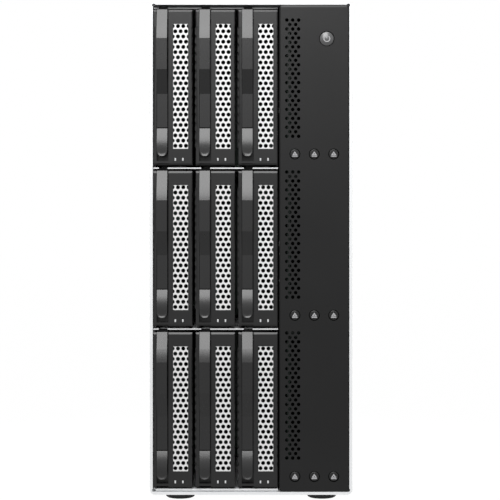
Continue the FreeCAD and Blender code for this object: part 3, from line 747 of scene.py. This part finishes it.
guard_low, guard_high = box_of("fan_guards")
guard_half, guard_corner, guard_reach = (guard_high.x - guard_low.x) / 2, 0.004, 0.0545
guard_hole, guard_pitch, screw_reach = 0.0024, 0.0064, 0.0525
fan_x, fan_heights = guard_low.x + guard_half, (guard_low.z + guard_half, guard_high.z - guard_half)


def lattice(low_x, high_x, low_z, high_z, pitch):
    """Places in staggered rows that fill a rectangle."""
    step = pitch * math.sqrt(0.75)
    rows_up, across = int((high_z - low_z) / step), int((high_x - low_x) / pitch)
    for row in range(rows_up + 1):
        for column in range(across + 1 - row % 2):
            yield low_x + pitch * (column + 0.5 * (row % 2)), low_z + step * row


def guard_mesh(z):
    """One fan's guard."""
    y, centre = guard_low.y, Vector((fan_x, 0, z))
    span = Vector((guard_half, 0, guard_half))
    rim = rounded_outline(centre - span, centre + span, guard_corner, y)
    places = lattice(fan_x - guard_reach, fan_x + guard_reach, z - guard_reach, z + guard_reach, guard_pitch)
    furthest = guard_reach - guard_hole
    inside = [Vector((x, y, up)) for x, up in places if math.hypot(x - fan_x, up - z) < furthest]
    outline, gauge = [point for point, _ in rim], guard_high.y - guard_low.y
    return mesh_of(punched_sheet(outline, inside, guard_hole, gauge, 12), "punched guard")


def screw_mesh(places, y):
    """Pan-headed screws with cross recesses, whose heads stand out from a rear face."""
    rise, shoulder, crown, rim, sunk, arm, slot = 0.0013, 0.0005, 0.0023, 0.0029, 0.0008, 0.0014, 0.00032
    screws = bmesh.new()
    for x, z in places:
        head = bmesh.new()
        top = ring_of(head, Vector((x, y + rise, z)), crown, 24)
        plus = []
        for quarter in range(4):
            for a, b in ((arm, -slot), (arm, slot), (slot, slot)):
                for _ in range(quarter):
                    a, b = -b, a
                plus.append((x + a, y + rise, z + b))
        cross = loop_of(head, plus)[1]
        bmesh.ops.triangle_fill(head, use_beauty=True, edges=head.edges[:], normal=(0, 1, 0))
        floor_corners, floor_edges = drawn_out(head, cross)
        for vert in floor_corners:
            vert.co.y -= sunk
        bmesh.ops.holes_fill(head, edges=floor_edges, sides=0)
        ring = [edge for edge in head.edges if edge.is_boundary and all(vert in top for vert in edge.verts)]
        for grow, height in ((rim / crown, shoulder), (1.0, 0.0)):
            fresh, ring = drawn_out(head, ring)
            for vert in fresh:
                vert.co = Vector((x + (vert.co.x - x) * grow, y + height, z + (vert.co.z - z) * grow))
        bmesh.ops.recalc_face_normals(head, faces=head.faces[:])
        one = mesh_of(head, "screw")
        screws.from_mesh(one)
        bpy.data.meshes.remove(one)
    return mesh_of(screws, "screws")


for label, z in zip(("lower", "upper"), fan_heights):
    guard = add_piece("guard_" + label, guard_mesh(z), guard_paint, owner["fan_guards"])
    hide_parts("fan_guards")
    corners = [(fan_x + a * screw_reach, z + b * screw_reach) for a in (-1, 1) for b in (-1, 1)]
    heads = screw_mesh(corners, guard_high.y)
    add_piece("guard_screws_" + label, heads, screw_steel, owner["fan_guards"])

# ---------------------------------------------------------------- rear panel, supply and inlet
# The rear sheet is powder coated black and punched for air at its foot. The supply is zinc-plated, and the
# mains inlet is a black moulding.

zinc = finish("zinc plate", (0.62, 0.63, 0.64), 0.32, metallic=1.0, mottle=0.25, spread=0.2, scale=600.0)
inlet_plastic = finish("black inlet plastic", (0.02, 0.02, 0.02), 0.36, scale=2000.0, depth=0.06)
rear_low, rear_high = box_of("rear_panel")
supply_low, supply_high = box_of("power_supply")
supply_lip, fan_opening, air_hole, air_pitch = 0.0025, 0.0565, 0.0022, 0.0060
air_vent = (-0.066, 0.018, 0.022, 0.107)
port_places, port_half_x, port_half_z = ((0.0692, 0.206), (0.0692, 0.232)), 0.0022, 0.0051
lock_place, lock_half_x, lock_half_z = (0.066, 0.368), 0.0035, 0.0015
panel_screws = (
    (-0.0725, 0.0135), (-0.0725, 0.1195), (-0.0725, 0.3812), (0.072, 0.1045), (0.072, 0.15), (0.072, 0.3812),
)


def around(place, half_x, half_z):
    """The sides of a rectangle round a place."""
    x, z = place
    return x - half_x, x + half_x, z - half_z, z + half_z


def rear_sheet():
    """The rear panel with its round and square openings."""
    y, lip, sheet = rear_low.y, supply_lip, bmesh.new()
    squares = [(rear_low.x, rear_high.x, rear_low.z, rear_high.z)]
    squares.append((supply_low.x + lip, supply_high.x - lip, supply_low.z + lip, supply_high.z - lip))
    squares += [around(place, port_half_x, port_half_z) for place in port_places]
    squares.append(around(lock_place, lock_half_x, lock_half_z))
    for sides in squares:
        loop_of(sheet, rectangle(*sides, y))
    for z in fan_heights:
        ring_of(sheet, Vector((fan_x, y, z)), fan_opening, 64)
    for x, z in lattice(*air_vent, air_pitch):
        ring_of(sheet, Vector((x, y, z)), air_hole, 12)
    thick_sheet(sheet, rear_high.y - rear_low.y)
    return mesh_of(sheet, "rear sheet")


back = add_piece("rear_sheet", rear_sheet(), guard_paint, "chassis")
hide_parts("rear_panel")
add_piece("rear_screws", screw_mesh(panel_screws, rear_high.y), screw_steel, "chassis")
dress_node("power_supply", zinc, 0.0002)
dress_node("power_inlet", inlet_plastic, 0.0003)

# ---------------------------------------------------------------- feet
# Four round pads of moulded rubber under the sleeve, matt and slightly dusty, with a softened lower edge.
# They keep the aluminium off the desk.

rubber = finish("matt rubber", (0.03, 0.03, 0.03), 0.72, mottle=0.4, spread=0.2, scale=1100.0, depth=0.3)
dress_node("feet", rubber, 0.0006, 3)

# ---------------------------------------------------------------- painted shade sheets
# Matt black sheets of painted shade where the inside is only dark: behind the panel's vents, in front of the
# fans and in the slot between the trays and the panel. They ride on the chassis and hide the boards and the
# rear.

# This matt black finish is painted shade, for sheets that stand where the inside is only dark.
shade_foam = finish(
    "black painted shade", (0.006, 0.006, 0.006), 0.95, mottle=0.3, scale=900.0, depth=0.4, specular=0.05,
)
shade_thickness, vent_margin, behind_cage, behind_panel, behind_face = 0.003, 0.002, 0.004, 0.0085, 0.0125
last_tray_edge, tray_gap, panel_gap = first_corner.x + 2 * bay_pitch + tray_size.x, 0.00025, 0.00005


def shade_sheet(name, x0, x1, z0, z1, y):
    """A matt black sheet of painted shade that stands across the inside."""
    mat = bmesh.new()
    size = Matrix.Diagonal((x1 - x0, shade_thickness, z1 - z0, 1.0))
    bmesh.ops.create_cube(mat, size=1.0, matrix=Matrix.Translation(((x0 + x1) / 2, y, (z0 + z1) / 2)) @ size)
    add_piece(name, mesh_of(mat, "painted shade sheet"), shade_foam, "chassis")


cage_low, cage_high = box_of("drive_cage")
# Painted shade: dark sheets behind the cage, behind the panel's vents and in the slot beside the last tray.
shade_sheet("rear_painted_shade", cage_low.x, cage_high.x, cage_low.z, cage_high.z, cage_high.y + behind_cage)
shade_sheet(
    "vent_painted_shade", panel_low.x + vent_margin, panel_high.x - vent_margin, panel_low.z + vent_margin,
    panel_high.z - vent_margin, panel_high.y + behind_panel,
)
shade_sheet(
    "slot_painted_shade", last_tray_edge + tray_gap, panel_low.x - panel_gap, panel_low.z, panel_high.z,
    panel_low.y + behind_face,
)

# ---------------------------------------------------------------- floor, light and camera
# A white studio: a floor that keeps a faint shadow, one broad soft lamp above and in front, and an even
# ambient light. The camera and the surfaces' reflections see the floor and the world white. The floor's own
# colour is dark near the object and darker further out, so that it throws little light back up.

def sees_backdrop(nodes, links, direct, onward):
    """How much of the backdrop's own white the camera's rays get, and the rays that a surface sends on."""
    path, total = nodes.new("ShaderNodeLightPath"), None
    shares = (("Is Camera Ray", direct), ("Is Glossy Ray", onward), ("Is Transmission Ray", onward))
    for label, weight in shares:
        weighed, either = nodes.new("ShaderNodeMath"), nodes.new("ShaderNodeMath")
        weighed.operation, either.operation = "MULTIPLY", "MAXIMUM"
        weighed.inputs[1].default_value = weight
        either.inputs[0].default_value = 0.0
        links.new(path.outputs[label], weighed.inputs[0])
        links.new(weighed.outputs[0], either.inputs[1])
        if total:
            links.new(total, either.inputs[0])
        total = either.outputs[0]
    return total


ground = bmesh.new()
bmesh.ops.create_grid(ground, x_segments=1, y_segments=1, size=30.0)
floor = bpy.data.objects.new("floor", mesh_of(ground, "floor"))
bpy.context.scene.collection.objects.link(floor)
white = bpy.data.materials.new("white floor")
white.use_nodes = True
nodes, links = white.node_tree.nodes, white.node_tree.links
nodes["Principled BSDF"].inputs["Roughness"].default_value = 0.9
spot, reach = nodes.new("ShaderNodeTexCoord"), nodes.new("ShaderNodeVectorMath")
reach.operation = "LENGTH"
fade = nodes.new("ShaderNodeMapRange")
for label, value in (("From Min", 0.25), ("From Max", 0.5), ("To Min", 0.38), ("To Max", 0.06)):
    fade.inputs[label].default_value = value
links.new(spot.outputs["Object"], reach.inputs[0])
links.new(reach.outputs["Value"], fade.inputs["Value"])
links.new(fade.outputs["Result"], nodes["Principled BSDF"].inputs["Base Color"])
floor_glow, floor_seen, floor_reflected = 1.12, 0.88, 0.5
glow, blend = nodes.new("ShaderNodeEmission"), nodes.new("ShaderNodeMixShader")
glow.inputs["Strength"].default_value = floor_glow
links.new(sees_backdrop(nodes, links, floor_seen, floor_reflected), blend.inputs[0])
links.new(nodes["Principled BSDF"].outputs[0], blend.inputs[1])
links.new(glow.outputs[0], blend.inputs[2])
links.new(blend.outputs[0], nodes["Material Output"].inputs["Surface"])
floor.data.materials.append(white)

world = bpy.data.worlds.new("studio")
bpy.context.scene.world = world
world.use_nodes = True
nodes, links = world.node_tree.nodes, world.node_tree.links
ambient = nodes["Background"]
ambient.inputs["Color"].default_value = (1.0, 1.0, 1.0, 1.0)
ambient.inputs["Strength"].default_value = 0.35
seen, blend = nodes.new("ShaderNodeBackground"), nodes.new("ShaderNodeMixShader")
seen.inputs["Color"].default_value = (1.0, 1.0, 1.0, 1.0)
links.new(sees_backdrop(nodes, links, 1.0, 1.0), blend.inputs[0])
links.new(ambient.outputs[0], blend.inputs[1])
links.new(seen.outputs[0], blend.inputs[2])
links.new(blend.outputs[0], nodes["World Output"].inputs["Surface"])

object_low, object_high = Vector(cad_bounds[0]), Vector(cad_bounds[1])
middle = (object_low + object_high) / 2


def soft_box(name, place, width, height, power):
    """A rectangular lamp that faces the middle of the object."""
    lamp = bpy.data.lights.new(name, "AREA")
    lamp.shape, lamp.size, lamp.size_y, lamp.energy = "RECTANGLE", width, height, power
    lamp_object = bpy.data.objects.new(name, lamp)
    lamp_object.location = place
    lamp_object.rotation_euler = (middle - Vector(place)).to_track_quat("-Z", "Y").to_euler()
    bpy.context.scene.collection.objects.link(lamp_object)


soft_box("key", (-0.12, -1.3, 1.22), 0.8, 1.05, 20.5)

aim_x, aim_z, handle_proud, distance = -0.00082, 0.19596, 0.0065, 1.1
camera_data = bpy.data.cameras.new("camera")
camera_data.lens, camera_data.sensor_width = 101.54, 36.0
camera = bpy.data.objects.new("camera", camera_data)
camera.location = (aim_x, object_low.y + handle_proud - distance, aim_z)
camera.rotation_euler = (math.pi / 2, 0, 0)
bpy.context.scene.collection.objects.link(camera)
bpy.context.scene.camera = camera
bpy.context.scene.view_settings.view_transform = "Standard"
